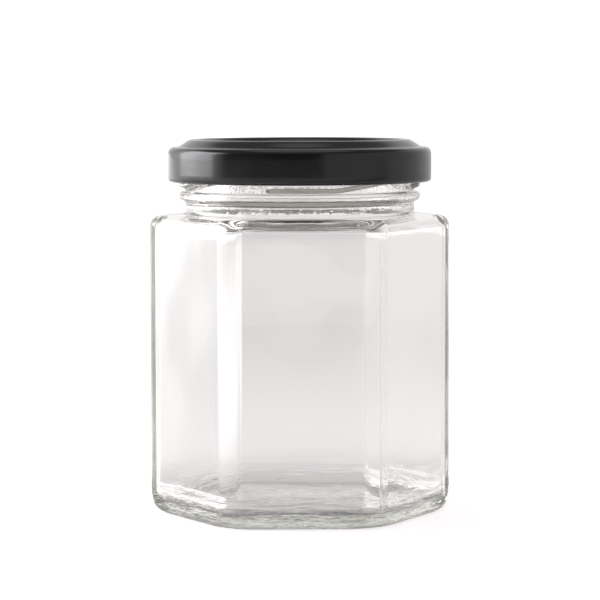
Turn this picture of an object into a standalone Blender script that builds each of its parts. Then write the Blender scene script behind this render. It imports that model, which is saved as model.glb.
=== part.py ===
"""Hexagonal glass jar with a twist-off lid, for Blender 4.5.

Metres, +Z up. The origin is the middle of the base, and a flat of the hexagon faces -Y.
Angles round the jar are measured from that front flat, towards +X.
"""

import math

import bmesh
import bpy

MM = 0.001

# Driving dimensions of the glass body
BODY_APOTHEM = 33.35 * MM  # half the width across the flats
BODY_CORNER = 5.0 * MM  # radius of the six upright corners
WALL = 2.7 * MM
INNER_CORNER = 5.0 * MM
FOOT_CORNER = 14.0 * MM  # the corners are rounder where the base is
FOOT_BLEND_HEIGHT = 6.0 * MM
HEEL_RADIUS = 2.3 * MM
FOOT_RING_WIDTH = 3.0 * MM
PUSH_UP = 1.2 * MM  # the hollow under the base
FLOOR_EDGE_Z = 3.0 * MM
FLOOR_MIDDLE_Z = 3.7 * MM
FLOOR_FILLET = 2.0 * MM
FLOOR_CORNER = 6.0 * MM

# Shoulder, from the hexagon in to the round neck
SHOULDER_START_Z = 72.4 * MM
SHOULDER_RADIUS = 2.7 * MM
SHOULDER_TOP_CORNER = 7.0 * MM
NECK_START_Z = 76.1 * MM
NECK_RADIUS = 28.8 * MM
NECK_FILLET = 0.7 * MM
MOUTH_RADIUS = 26.3 * MM
INNER_SHOULDER_LOW_Z = 71.6 * MM
INNER_SHOULDER_TOP_Z = 74.3 * MM

# Transfer bead and rim
BEAD_RADIUS = 30.25 * MM
BEAD_LOW_Z = 78.2 * MM
BEAD_HIGH_Z = 81.2 * MM
RIM_Z = 91.2 * MM
RIM_ROUND = 1.2 * MM

# Four thread ridges, each low and level at its start and then rising
THREAD_STARTS = 4
THREAD_RADIUS = 30.4 * MM
THREAD_ROOT_Z = 81.35 * MM
THREAD_ROOT_HEIGHT = 2.5 * MM
THREAD_CREST_LOW = 1.1 * MM
THREAD_CREST_HIGH = 1.8 * MM
THREAD_FROM = math.radians(-17.2)
THREAD_LEVEL_TO = math.radians(16.3)
THREAD_TO = math.radians(70.0)
THREAD_RISE = math.tan(math.radians(8.0))  # height gained for each unit of arc
THREAD_END_TAPER = math.radians(3.0)
THREAD_STATIONS = 13
THREAD_ROOT_SINK = 0.5 * MM

# Twist-off lid, a thin metal shell with a raised ring on top and a curled lower edge
LID_RADIUS = 33.1 * MM
LID_BOTTOM_Z = 83.35 * MM
LID_TOP_Z = 94.0 * MM
LID_SHEET = 0.3 * MM
LID_RING_RADIUS = 27.0 * MM
LID_PANEL_RADIUS = 24.6 * MM
LID_PANEL_DROP = 1.3 * MM
LID_LEDGE_RADIUS = 31.5 * MM
LID_LEDGE_Z = 92.1 * MM
LID_EDGE_ROUND = 1.6 * MM
CURL_RADIUS = 0.95 * MM
CURL_TURN = 250  # degrees from the skirt, under and up inside
CREST_HALF_WIDTH = 0.5 * MM

# Lugs pressed inwards out of the curl, one under each thread
LUG_ANGLE = math.radians(60.0)
LUG_HALF_WIDTH = math.radians(6.0)
LUG_INNER_RADIUS = 29.9 * MM
LUG_END_RADIUS = 31.0 * MM
LUG_OUTER_RADIUS = 31.6 * MM  # inside the curl
LUG_LOW_Z = 83.6 * MM
LUG_HIGH_Z = 84.5 * MM
LUG_EDGE = 0.12 * MM
LUG_STATIONS = 7

# Sealing ring in the channel of the lid, on the rim of the glass
SEAL_INNER_RADIUS = 26.0 * MM
SEAL_OUTER_RADIUS = 30.3 * MM
SEAL_GAP = 0.3 * MM
SEAL_EDGE_ROUND = 0.25 * MM
SEAL_TOP_SLACK = 0.2 * MM

FRONT = -math.pi / 2
LID_STEPS = 48

# Directions of the points of every section, from a corner of the hexagon to the middle of a flat
SECTION_STEPS = [math.radians(d) for d in (-30.0, -21.1, -12.3, -3.4, -1.7, 0.0, 1.7, 3.4, 12.3, 21.1)]


def clear_scene():
    for old in list(bpy.data.objects):
        bpy.data.objects.remove(old, do_unlink=True)


def make_collection(name):
    collection = bpy.data.collections.new(name)
    bpy.context.scene.collection.children.link(collection)
    return collection


def make_material(name, color, roughness, metallic=0.0, transmission=0.0, ior=1.5):
    material = bpy.data.materials.new(name)
    material.use_nodes = True
    shader = material.node_tree.nodes["Principled BSDF"]
    shader.inputs["Base Color"].default_value = (*color, 1.0)
    shader.inputs["Roughness"].default_value = roughness
    shader.inputs["Metallic"].default_value = metallic
    shader.inputs["Transmission Weight"].default_value = transmission
    shader.inputs["IOR"].default_value = ior
    return material


def add_object(name, mesh, collection, material=None):
    thing = bpy.data.objects.new(name, mesh)
    collection.objects.link(thing)
    if material is not None:
        mesh.materials.append(material)
    return thing


def shade_round(mesh, sharp_degrees=40.0):
    mesh.shade_smooth()
    mesh.set_sharp_from_angle(angle=math.radians(sharp_degrees))


def arc(centre, radius, start, end, steps):
    """Points of an arc, as (distance from the axis, height), from start to end in degrees."""
    points = []
    for i in range(steps + 1):
        angle = math.radians(start + (end - start) * i / steps)
        points.append((centre[0] + radius * math.cos(angle), centre[1] + radius * math.sin(angle)))
    return points


def blend(low, high, share):
    return low + (high - low) * share


def section_reach(apothem, corner_radius, off_corner):
    """Distance from the axis to a rounded hexagon, in a direction measured from its corner."""
    corner_centre = (apothem - corner_radius) / math.cos(math.radians(30))
    arc_end = math.atan2(
        corner_radius * math.sin(math.radians(30)),
        corner_centre + corner_radius * math.cos(math.radians(30)),
    )
    if abs(off_corner) > arc_end:
        return apothem / math.cos(math.radians(30) - abs(off_corner))
    across = corner_centre * math.sin(off_corner)
    return corner_centre * math.cos(off_corner) + math.sqrt(corner_radius**2 - across**2)


def section(apothem, corner_radius, height):
    """One ring of points. A corner radius equal to the apothem makes it a circle."""
    corner_radius = min(corner_radius, apothem)
    ring = []
    for corner in range(6):
        middle = math.radians(-60 + 60 * corner)
        for step in SECTION_STEPS:
            reach = section_reach(apothem, corner_radius, step)
            ring.append((reach * math.cos(middle + step), reach * math.sin(middle + step), height))
    return ring


def round_section(radius, height):
    return section(radius, radius, height)


def loft(name, rings):
    """A closed solid through rings of equal counts, with flat ends."""
    shape = bmesh.new()
    rows = [[shape.verts.new(point) for point in ring] for ring in rings]
    count = len(rings[0])
    for low, high in zip(rows, rows[1:]):
        for i in range(count):
            j = (i + 1) % count
            shape.faces.new((low[i], low[j], high[j], high[i]))
    shape.faces.new(list(reversed(rows[0])))
    shape.faces.new(rows[-1])
    bmesh.ops.recalc_face_normals(shape, faces=shape.faces)
    mesh = bpy.data.meshes.new(name)
    shape.to_mesh(mesh)
    shape.free()
    return mesh


def foot_corner_at(height):
    """Corner radius of the outside near the base, where it grows towards the foot."""
    share = max(0.0, 1.0 - height / FOOT_BLEND_HEIGHT)
    return blend(BODY_CORNER, FOOT_CORNER, share**2)


def base_rings():
    foot_outer = BODY_APOTHEM - HEEL_RADIUS
    foot_inner = foot_outer - FOOT_RING_WIDTH
    rings = []
    for share in (0.3, 0.65):
        rings.append(round_section(foot_inner * share, PUSH_UP * (1 - share**2)))
    rings.append(section(foot_inner, FOOT_CORNER, 0.0))
    for x, z in arc((foot_outer, HEEL_RADIUS), HEEL_RADIUS, -90, 0, 4):
        rings.append(section(x, foot_corner_at(z), z))
    for height in (0.65 * FOOT_BLEND_HEIGHT, FOOT_BLEND_HEIGHT):
        rings.append(section(BODY_APOTHEM, foot_corner_at(height), height))
    return rings


def shoulder_rings():
    """From the top of the wall, over the rounded shoulder, to the round neck."""
    rings = []
    top_angle = 75
    edge = arc((BODY_APOTHEM - SHOULDER_RADIUS, SHOULDER_START_Z), SHOULDER_RADIUS, 0, top_angle, 4)
    for i, (x, z) in enumerate(edge):
        corner = blend(BODY_CORNER, SHOULDER_TOP_CORNER, i / (len(edge) - 1))
        rings.append(section(x, corner, z))
    last_x, last_z = edge[-1]
    fillet_x = NECK_RADIUS + NECK_FILLET
    fillet_z = NECK_START_Z - NECK_FILLET
    for share in (0.35, 0.7, 1.0):
        x = blend(last_x, fillet_x, share)
        corner = blend(SHOULDER_TOP_CORNER, fillet_x, share**0.7)
        rings.append(section(x, corner, blend(last_z, fillet_z, share)))
    rings.append(round_section(NECK_RADIUS + 0.25 * NECK_FILLET, NECK_START_Z - 0.5 * NECK_FILLET))
    rings.append(round_section(NECK_RADIUS, NECK_START_Z))
    return rings


def finish_rings():
    """The neck, the transfer bead, and the rim that the lid seals on."""
    bead_height = BEAD_HIGH_Z - BEAD_LOW_Z
    bead = (
        (NECK_RADIUS, 0.0),
        (blend(NECK_RADIUS, BEAD_RADIUS, 0.8), 0.26),
        (BEAD_RADIUS, 0.45),
        (BEAD_RADIUS, 0.72),
        (blend(NECK_RADIUS, BEAD_RADIUS, 0.75), 0.9),
        (NECK_RADIUS, 1.0),
    )
    rings = [round_section(r, BEAD_LOW_Z + share * bead_height) for r, share in bead]
    outer = arc((NECK_RADIUS - RIM_ROUND, RIM_Z - RIM_ROUND), RIM_ROUND, 0, 90, 3)
    inner = arc((MOUTH_RADIUS + RIM_ROUND, RIM_Z - RIM_ROUND), RIM_ROUND, 90, 180, 3)
    rings += [round_section(r, z) for r, z in outer + inner]
    return rings


def inside_rings():
    """Down the mouth, out under the shoulder, down the walls and in over the floor."""
    apothem = BODY_APOTHEM - WALL
    rings = []
    stages = ((0.0, 1.0), (0.03, 0.83), (0.14, 0.71), (0.33, 0.63), (0.83, 0.47), (0.96, 0.3), (1.0, 0.0))
    for out, up in stages:
        x = blend(MOUTH_RADIUS, apothem, out)
        corner = blend(MOUTH_RADIUS, INNER_CORNER, out**1.2)
        rings.append(section(x, corner, blend(INNER_SHOULDER_LOW_Z, INNER_SHOULDER_TOP_Z, up)))
    edge = arc((apothem - FLOOR_FILLET, FLOOR_EDGE_Z + FLOOR_FILLET), FLOOR_FILLET, 0, -90, 4)
    for i, (x, z) in enumerate(edge):
        corner = blend(INNER_CORNER, FLOOR_CORNER, i / (len(edge) - 1))
        rings.append(section(x, corner, z))
    for share in (0.6, 0.25):
        rise = FLOOR_MIDDLE_Z - FLOOR_EDGE_Z
        rings.append(round_section(share * apothem, FLOOR_EDGE_Z + rise * (1 - share**2)))
    return rings


def thread_lift(angle):
    return max(0.0, angle - THREAD_LEVEL_TO) * NECK_RADIUS * THREAD_RISE


def thread_ridge(name, turn):
    """One raised ridge, swept round the neck from its blunt start to its high end."""
    rings = []
    root = NECK_RADIUS - THREAD_ROOT_SINK
    for i in range(THREAD_STATIONS):
        angle = blend(THREAD_FROM, THREAD_TO, i / (THREAD_STATIONS - 1))
        if i in (1, THREAD_STATIONS - 2):
            inwards = 1 if i == 1 else -1
            end = THREAD_FROM if i == 1 else THREAD_TO
            angle = end + inwards * THREAD_END_TAPER
        at_end = i in (0, THREAD_STATIONS - 1)
        crest = blend(NECK_RADIUS, THREAD_RADIUS, 0.15 if at_end else 1.0)
        base = THREAD_ROOT_Z + thread_lift(angle)
        profile = (
            (root, base),
            (NECK_RADIUS, base),
            (crest, base + THREAD_CREST_LOW),
            (crest, base + THREAD_CREST_HIGH),
            (NECK_RADIUS, base + THREAD_ROOT_HEIGHT),
            (root, base + THREAD_ROOT_HEIGHT),
        )
        around = FRONT + turn + angle
        rings.append([(r * math.cos(around), r * math.sin(around), z) for r, z in profile])
    return loft(name, rings)


def unite(target, tools):
    """Fuses the tool objects into the target with a live union each."""
    for tool in tools:
        tool.hide_render = True
        tool.display_type = "WIRE"
        union = target.modifiers.new("join " + tool.name, "BOOLEAN")
        union.operation = "UNION"
        union.solver = "EXACT"
        union.object = tool


def make_jar(parts, tools, material):
    rings = base_rings() + shoulder_rings() + finish_rings() + inside_rings()
    mesh = loft("jar", rings)
    jar = add_object("jar", mesh, parts, material)
    ridges = []
    for start in range(THREAD_STARTS):
        turn = 2 * math.pi * start / THREAD_STARTS
        name = f"thread_ridge_{start + 1}"
        ridges.append(add_object(name, thread_ridge(name, turn), tools))
    unite(jar, ridges)
    shade_round(mesh)
    return jar


def turned(name, profile, collection, material, closed=False):
    """A profile of (radius, height) points, run down its outer side, turned about the axis."""
    mesh = bpy.data.meshes.new(name)
    count = len(profile)
    edges = [(i, (i + 1) % count) for i in range(count if closed else count - 1)]
    mesh.from_pydata([(r, 0.0, z) for r, z in profile], edges, [])
    thing = add_object(name, mesh, collection, material)
    screw = thing.modifiers.new("turn", "SCREW")
    screw.axis = "Z"
    screw.angle = 2 * math.pi
    screw.steps = LID_STEPS
    screw.render_steps = LID_STEPS
    screw.use_merge_vertices = True
    screw.merge_threshold = 0.00001
    screw.use_smooth_shade = True
    return thing


def lid_profile():
    """The outside of the lid, from the middle of its panel out, down the skirt and round the curl."""
    panel_z = LID_TOP_Z - LID_PANEL_DROP
    crest_inner = LID_RING_RADIUS - CREST_HALF_WIDTH
    crest_outer = LID_RING_RADIUS + CREST_HALF_WIDTH
    profile = [(0.0, panel_z), (LID_PANEL_RADIUS, panel_z)]
    profile.append((blend(LID_PANEL_RADIUS, crest_inner, 0.6), blend(panel_z, LID_TOP_Z, 0.75)))
    profile += [(crest_inner, LID_TOP_Z), (crest_outer, LID_TOP_Z)]
    for across, down in ((0.25, 0.22), (0.75, 0.8)):
        x = blend(crest_outer, LID_LEDGE_RADIUS, across)
        profile.append((x, blend(LID_TOP_Z, LID_LEDGE_Z, down)))
    edge_centre = (LID_RADIUS - LID_EDGE_ROUND, LID_LEDGE_Z - LID_EDGE_ROUND)
    profile += arc(edge_centre, LID_EDGE_ROUND, 90, 0, 3)
    curl_centre = (LID_RADIUS - CURL_RADIUS, LID_BOTTOM_Z + CURL_RADIUS)
    profile += arc(curl_centre, CURL_RADIUS, 0, -CURL_TURN, 6)
    return profile


def lug(name, turn):
    """A block that starts inside the curl and reaches in under the thread."""
    rings = []
    for i in range(LUG_STATIONS):
        share = 2 * i / (LUG_STATIONS - 1) - 1
        angle = FRONT + turn + LUG_ANGLE + share * LUG_HALF_WIDTH
        inner = blend(LUG_INNER_RADIUS, LUG_END_RADIUS, abs(share) ** 4)
        profile = (
            (inner, LUG_LOW_Z + LUG_EDGE),
            (LUG_OUTER_RADIUS, LUG_LOW_Z),
            (LUG_OUTER_RADIUS, LUG_HIGH_Z),
            (inner, LUG_HIGH_Z - LUG_EDGE),
        )
        rings.append([(r * math.cos(angle), r * math.sin(angle), z) for r, z in profile])
    return loft(name, rings)


def make_lid(parts, tools, material):
    lid = turned("lid", lid_profile(), parts, material)
    sheet = lid.modifiers.new("sheet", "SOLIDIFY")
    sheet.thickness = LID_SHEET
    sheet.offset = -1.0
    lugs = []
    for start in range(THREAD_STARTS):
        turn = 2 * math.pi * start / THREAD_STARTS
        name = f"lug_{start + 1}"
        lugs.append(add_object(name, lug(name, turn), tools))
    unite(lid, lugs)
    return lid


def make_seal(parts, material):
    """A soft ring between the rim of the glass and the sloping side of the raised ring."""
    low = RIM_Z + SEAL_GAP
    under = LID_SHEET + SEAL_GAP
    slope = (LID_TOP_Z - LID_LEDGE_Z) / (LID_LEDGE_RADIUS - LID_RING_RADIUS)
    high_inner = LID_TOP_Z - under - SEAL_TOP_SLACK
    high_outer = high_inner - slope * (SEAL_OUTER_RADIUS - LID_RING_RADIUS)
    profile = [
        (SEAL_INNER_RADIUS, low + SEAL_EDGE_ROUND),
        (SEAL_INNER_RADIUS + SEAL_EDGE_ROUND, high_inner),
        (LID_RING_RADIUS, high_inner),
        (SEAL_OUTER_RADIUS, high_outer),
        (SEAL_OUTER_RADIUS, low),
        (SEAL_INNER_RADIUS + SEAL_EDGE_ROUND, low),
    ]
    return turned("seal", profile, parts, material, closed=True)


def main():
    clear_scene()
    parts = make_collection("hexagonal_jar")
    tools = make_collection("joining_tools")
    glass = make_material("clear_glass", (0.93, 0.95, 0.93), 0.02, transmission=1.0, ior=1.52)
    enamel = make_material("black_enamel", (0.012, 0.012, 0.013), 0.22)
    compound = make_material("sealing_compound", (0.78, 0.77, 0.72), 0.6)
    centre = bpy.data.objects.new("hexagonal_jar_centre", None)
    parts.objects.link(centre)
    jar = make_jar(parts, tools, glass)
    lid = make_lid(parts, tools, enamel)
    seal = make_seal(parts, compound)
    for piece in (jar, lid, seal):
        piece.parent = centre


main()
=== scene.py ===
"""Looks of a hexagonal glass jar with a black twist-off lid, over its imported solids."""

import math

import bpy
import numpy as np
from bpy.props import FloatProperty, FloatVectorProperty, IntProperty, PointerProperty
from mathutils import Matrix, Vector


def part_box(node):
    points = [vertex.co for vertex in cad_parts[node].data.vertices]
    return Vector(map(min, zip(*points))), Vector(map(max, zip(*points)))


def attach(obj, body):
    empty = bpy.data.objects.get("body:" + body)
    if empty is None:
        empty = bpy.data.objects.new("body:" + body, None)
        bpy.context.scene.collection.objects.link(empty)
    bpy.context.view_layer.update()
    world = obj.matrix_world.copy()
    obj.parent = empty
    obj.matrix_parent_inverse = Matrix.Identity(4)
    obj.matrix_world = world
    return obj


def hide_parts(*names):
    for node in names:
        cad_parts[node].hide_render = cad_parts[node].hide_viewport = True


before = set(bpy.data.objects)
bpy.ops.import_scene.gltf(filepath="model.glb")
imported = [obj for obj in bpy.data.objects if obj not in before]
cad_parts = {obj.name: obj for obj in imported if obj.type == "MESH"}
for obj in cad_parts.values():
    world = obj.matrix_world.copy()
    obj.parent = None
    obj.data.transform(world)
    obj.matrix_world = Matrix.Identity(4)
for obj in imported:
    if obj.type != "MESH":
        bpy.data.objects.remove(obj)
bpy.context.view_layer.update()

bl_info = {
    "name": "Hexagonal Glass Jar",
    "version": (1, 0, 0),
    "blender": (4, 5, 0),
    "location": "3D View > Sidebar > Glass Jar",
    "description": "Clear hexagonal jar, black twist-off lid and sealing ring, with a plain studio",
    "category": "Add Mesh",
}

MM = 0.001
JAR_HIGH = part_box("jar")[1]
LID_LOW, LID_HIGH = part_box("lid")
SEAL_LOW, SEAL_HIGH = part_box("seal")

# Angles round the jar are measured from the front flat, which faces -Y, towards +X
FRONT = -math.pi / 2
SIDES = 6
HALF_SIDE_DEGREES = 30.0
HALF_SIDE = math.radians(HALF_SIDE_DEGREES)

# Foot and floor of the glass
FOOT_CORNER = 14.0 * MM
FOOT_BLEND_HEIGHT = 6.0 * MM
HEEL_RADIUS = 2.3 * MM
FOOT_RING_WIDTH = 3.0 * MM
FOOT_RING_EASE = 0.4 * MM
FOOT_RING_LIFT = 0.03 * MM
PUSH_UP = 1.2 * MM
FLOOR_EDGE_Z = 3.0 * MM
FLOOR_MIDDLE_Z = 3.7 * MM
FLOOR_FILLET = 2.0 * MM
FLOOR_CORNER = 6.0 * MM
# Rings of points, as shares of the way from the middle to the foot ring and to the floor's edge
BASE_SHARES = (0.12, 0.3, 0.48, 0.64, 0.78, 0.88, 0.95)
FLOOR_SHARES = (0.9, 0.78, 0.64, 0.48, 0.3, 0.14)

# The halves of the mould meet at these two corners, in degrees from +X
SEAM_CORNERS = (-60, 120)
# Half the width of the ridge there, in degrees
SEAM_EDGE = 0.22
# The other directions to each side of a corner, in degrees, closest where it is round
CORNER_SIDE = (*np.linspace(0.6, 3.4, 6), 3.8, 4.4, 5.4, *np.linspace(7.0, 28.5, 15))

# Slow waves of the walls: (waves round the jar, change with height, share of the phase)
WAVES = ((3, 1.3, 1.0), (7, -2.1, 2.2), (5, 3.4, 0.7))
WAVE_HEIGHT = 20.0 * MM
WAVE_FADE = 14.0 * MM
OUTSIDE_PHASE, INSIDE_PHASE = 1.0, 2.4
# The outside, which the mould shaped, is this many times calmer than the inside
OUTSIDE_CALMER = 6

# Corners inside, shoulder and neck
INNER_CORNER = 5.0 * MM
SHOULDER_START_Z = 72.4 * MM
SHOULDER_RADIUS = 2.7 * MM
SHOULDER_TOP_CORNER = 7.0 * MM
SHOULDER_TURN = 75
EDGE_STEPS = 20
SLOPE_STEPS = 28
NECK_START_Z = 76.1 * MM
NECK_FILLET = 0.7 * MM
INNER_SHOULDER_LOW_Z = 71.6 * MM
INNER_SHOULDER_TOP_Z = 74.3 * MM
# Outlines as (share of the way out, share of the way up)
INNER_SHOULDER = ((0.0, 1.0), (0.034, 0.833), (0.138, 0.711), (0.322, 0.63), (0.598, 0.544),
                  (0.828, 0.474), (0.931, 0.378), (0.988, 0.204), (1.0, 0.0))
BEAD = ((0.0, 0.0), (0.8, 0.26), (1.0, 0.45), (1.0, 0.72), (0.75, 0.9), (0.0, 1.0))
BEAD_LOW_Z = 78.2 * MM
BEAD_HIGH_Z = 81.2 * MM
RIM_ROUND = 1.2 * MM

# Steps of the glass, from the heel over the rim to the floor
HEEL_STEPS = 10
FOOT_BLEND_STEPS = 6
WALL_STEPS = 25
NECK_FILLET_STEPS = 5
NECK_STEPS = 3
BEAD_STEPS = 4
THREAD_STEPS = 45
RIM_STEPS = 6
MOUTH_STEPS = 7
INNER_SHOULDER_STEPS = 7
FLOOR_FILLET_STEPS = 12

# Thread ridges
THREAD_ROOT_Z = 81.35 * MM
THREAD_ROOT_HEIGHT = 2.5 * MM
THREAD_CREST_LOW = 1.1 * MM
THREAD_CREST_HIGH = 1.8 * MM
THREAD_FROM = math.radians(-17.2)
THREAD_LEVEL_TO = math.radians(16.3)
THREAD_TO = math.radians(70.0)
THREAD_RISE = math.tan(math.radians(8.0))
THREAD_END_TAPER = math.radians(3.0)

# Lid
LID_PANEL_RADIUS = 24.6 * MM
LID_PANEL_DROP = 1.3 * MM
LID_PANEL_FLAT = LID_PANEL_RADIUS - 1.6 * MM
LID_PANEL_EASE = LID_PANEL_RADIUS - 1.2 * MM
LID_PANEL_POINTS = 10
LID_LEDGE_RADIUS = 31.5 * MM
LID_LEDGE_Z = 92.1 * MM
LID_EDGE_ROUND = 1.6 * MM
CREST_HALF_WIDTH = 0.5 * MM
# The outer slope of the ring, as (share of the way out, share of the way down to the ledge)
RING_SLOPE = ((0.2, 0.2), (0.72, 0.95), (0.88, 1.02))
LID_EDGE_STEPS = 12
LID_SKIRT_STEPS = 5
CURL_TURN = 250
CURL_STEPS = 24
LUG_LOW = 0.25 * MM
LUG_HIGH = 1.15 * MM
LUG_ROOT = 1.5 * MM
LUG_END_REACH = 0.4 * MM
LUG_STATIONS = 11
# Section of a lug, as (share of the way out, share of the way up)
LUG_SECTION = ((0.0, 0.5), (0.06, 0.12), (0.3, 0.0), (1.0, -0.05), (1.0, 1.0), (0.3, 1.0),
               (0.06, 0.88))

# Sealing ring
SEAL_CROWN = 0.35
SEAL_STEPS = 192

# Points closer than this become one where a turned piece closes
CLOSING_DISTANCE = 0.000002

# Finishes: the grain as (scale, stretch, detail), and how deep its bump is
EVEN = (1.0, 1.0, 1.0)
GLASS_IOR = 1.52
WALL_GRAIN, WALL_DEPTH = (45.0, (1.0, 1.0, 0.5), 1.0), 0.2 * MM
NECK_GRAIN, NECK_DEPTH = (700.0, (1.0, 1.0, 0.8), 2.0), 0.06 * MM
BASE_GRAIN, BASE_DEPTH = (60.0, (1.0, 1.0, 9.0), 3.0), 0.8 * MM
FOOT_GRAIN, FOOT_DEPTH = (1500.0, EVEN, 0.0), 0.08 * MM
ENAMEL_IOR = 1.5
ENAMEL_GLOSS_TINT = (0.93, 0.97, 1.0, 1.0)
ENAMEL_CLOUD = (160.0, EVEN, 3.0)
ENAMEL_PEEL, PEEL_DEPTH = (1400.0, EVEN, 1.0), 0.006 * MM
LACQUER_ROUGHNESS = 0.35
LACQUER_CLOUD, LACQUER_DEPTH = (220.0, EVEN, 3.0), 0.01 * MM
COMPOUND_ROUGHNESS = 0.6
COMPOUND_CLOUD, COMPOUND_DEPTH = (400.0, EVEN, 4.0), 0.04 * MM
# Heights between which the neck's, the base's and the foot's grain grow to their full depth
NECK_BAND = (NECK_START_Z - 0.5 * MM, NECK_START_Z + 1.0 * MM)
BASE_BAND = (9.0 * MM, 2.0 * MM)
FOOT_BAND = (0.35 * MM, 0.05 * MM)
# The part of the noise that the mask of a grain spreads from 0 to 1
MASK_RANGE = (0.35, 0.65)

# Faces of the studio floor
FLOOR_ACROSS = 24
FLOOR_ALONG = 60
FLOOR_GAP = 0.05 * MM
FLOOR_ROUGHNESS = 0.8

# Studio light: what glass and gloss see, and what the camera sees
LIGHT_COLOR = (1.0, 0.968, 0.972, 1.0)
WHITE = (1.0, 1.0, 1.0, 1.0)
BLACK = (0.0, 0.0, 0.0, 1.0)
SEEN_WORLD = 1.05
SEEN_FLOOR = 0.72
# Painted light: a glow in the floor, which is no lamp, that glass and gloss see; each part as
# (range, values at its ends). Along X on the left, and by the distance from the jar, the parts add
# up. Under the jar a painted contact shadow leaves only a share of them
PAINTED_LEFT_LIGHT = (((-0.025, -0.07), (0.0, 0.34)), ((-0.09, -0.25), (0.0, -0.2)),
              ((-0.28, -0.6), (0.0, 0.7)))
PAINTED_LIGHT_NEAR_JAR = ((0.15, 0.6), (0.35, 0.26))
PAINTED_CONTACT_SHADOW = ((0.055, 0.12), (0.35, 1.0))
# Over this range of Y the floor's colour fades to dark towards the front: painted shade that glass
# and gloss see
PAINTED_FRONT_SHADE = ((-0.12, -0.4), (1.0, 0.15))
# Brightness of the surroundings by direction, in degrees from the front towards the right
SURROUNDINGS = (
    (-180, 0.95), (-150, 1.05), (-134, 1.7), (-122, 5.8), (-108, 7.4), (-86, 6.6), (-79, 1.5),
    (-68, 0.2), (-20, 0.1), (14, 0.1), (24, 0.62), (60, 0.68), (110, 0.75), (135, 0.9), (180, 0.95),
)
BRIGHTEST = 8.0
# By height, in order: from this sine of the height angle to this one the light becomes this bright
HEIGHT_BANDS = ((-0.04, -0.05, 0.88), (0.5, 0.7, 0.3), (0.88, 0.95, 1.0))

# Light paths that thick glass needs
CYCLES_SETTINGS = {
    "max_bounces": 64, "transmission_bounces": 64, "glossy_bounces": 32, "diffuse_bounces": 6,
    "transparent_max_bounces": 16, "caustics_reflective": True, "caustics_refractive": True,
    "sample_clamp_indirect": 10.0, "use_denoising": True,
}

# Camera
SENSOR_WIDTH = 36.0
CLIP_START = 0.01


def blend(low, high, share):
    return low + (high - low) * share


def ease(share):
    """A smooth step from 0 to 1."""
    share = np.clip(share, 0.0, 1.0)
    return share * share * (3.0 - 2.0 * share)


def arc(centre, radius, start, end, steps):
    """Points of an arc as (distance from the axis, height), from start to end in degrees."""
    turns = np.radians(np.linspace(start, end, steps + 1))
    return [(centre[0] + radius * math.cos(t), centre[1] + radius * math.sin(t)) for t in turns]


def smooth_through(points, steps):
    """A curve through the points, with this many steps between each two of them."""
    points = [np.array(p, dtype=float) for p in points]
    points = [2 * points[0] - points[1]] + points + [2 * points[-1] - points[-2]]
    curve = []
    for a, b, c, d in zip(points, points[1:], points[2:], points[3:]):
        for i in range(steps):
            t = i / steps
            curve.append(
                0.5 * (2 * b + (c - a) * t + (2 * a - 5 * b + 4 * c - d) * t**2
                       + (3 * b - a - 3 * c + d) * t**3)
            )
    curve.append(points[-2])
    return [tuple(float(x) for x in p) for p in curve]


def corners_cut(points, rounds=2):
    """The same line with its corners cut again and again, so that it runs smoothly inside them."""
    for _ in range(rounds):
        cut = [points[0]]
        for a, b in zip(points, points[1:]):
            cut.append((blend(a[0], b[0], 0.25), blend(a[1], b[1], 0.25)))
            cut.append((blend(a[0], b[0], 0.75), blend(a[1], b[1], 0.75)))
        points = cut + [points[-1]]
    return points


def make_mesh(name, points, faces):
    mesh = bpy.data.meshes.new(name)
    mesh.from_pydata(points, [], faces)
    mesh.validate()
    mesh.shade_smooth()
    return mesh


def add_piece(name, mesh, materials):
    piece = bpy.data.objects.new(name, mesh)
    bpy.context.scene.collection.objects.link(piece)
    for material in materials:
        mesh.materials.append(material)
    return piece


def keep_piece(piece, node):
    """Hangs the piece under the root body and hides the solid that it stands for."""
    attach(piece, "root")
    if node:
        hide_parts(node)


# Shape of the glass

def sector_directions():
    """Directions across one sixth of the jar, measured from its corner, closest at the corner."""
    side = [SEAM_EDGE, *CORNER_SIDE]
    return np.radians([-HALF_SIDE_DEGREES] + [-a for a in reversed(side)] + [0.0] + side)


def section_reach(apothem, corner_radius, off_corner):
    """Distance from the axis to a rounded hexagon, in directions measured from its corner."""
    corner_centre = (apothem - corner_radius) / math.cos(HALF_SIDE)
    arc_end = math.atan2(corner_radius / 2, corner_centre + corner_radius * math.cos(HALF_SIDE))
    off = np.abs(off_corner)
    across = corner_centre * np.sin(off)
    rounded = corner_centre * np.cos(off) + np.sqrt(np.maximum(corner_radius**2 - across**2, 0.0))
    return np.where(off > arc_end, apothem / np.cos(HALF_SIDE - off), rounded)


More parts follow.
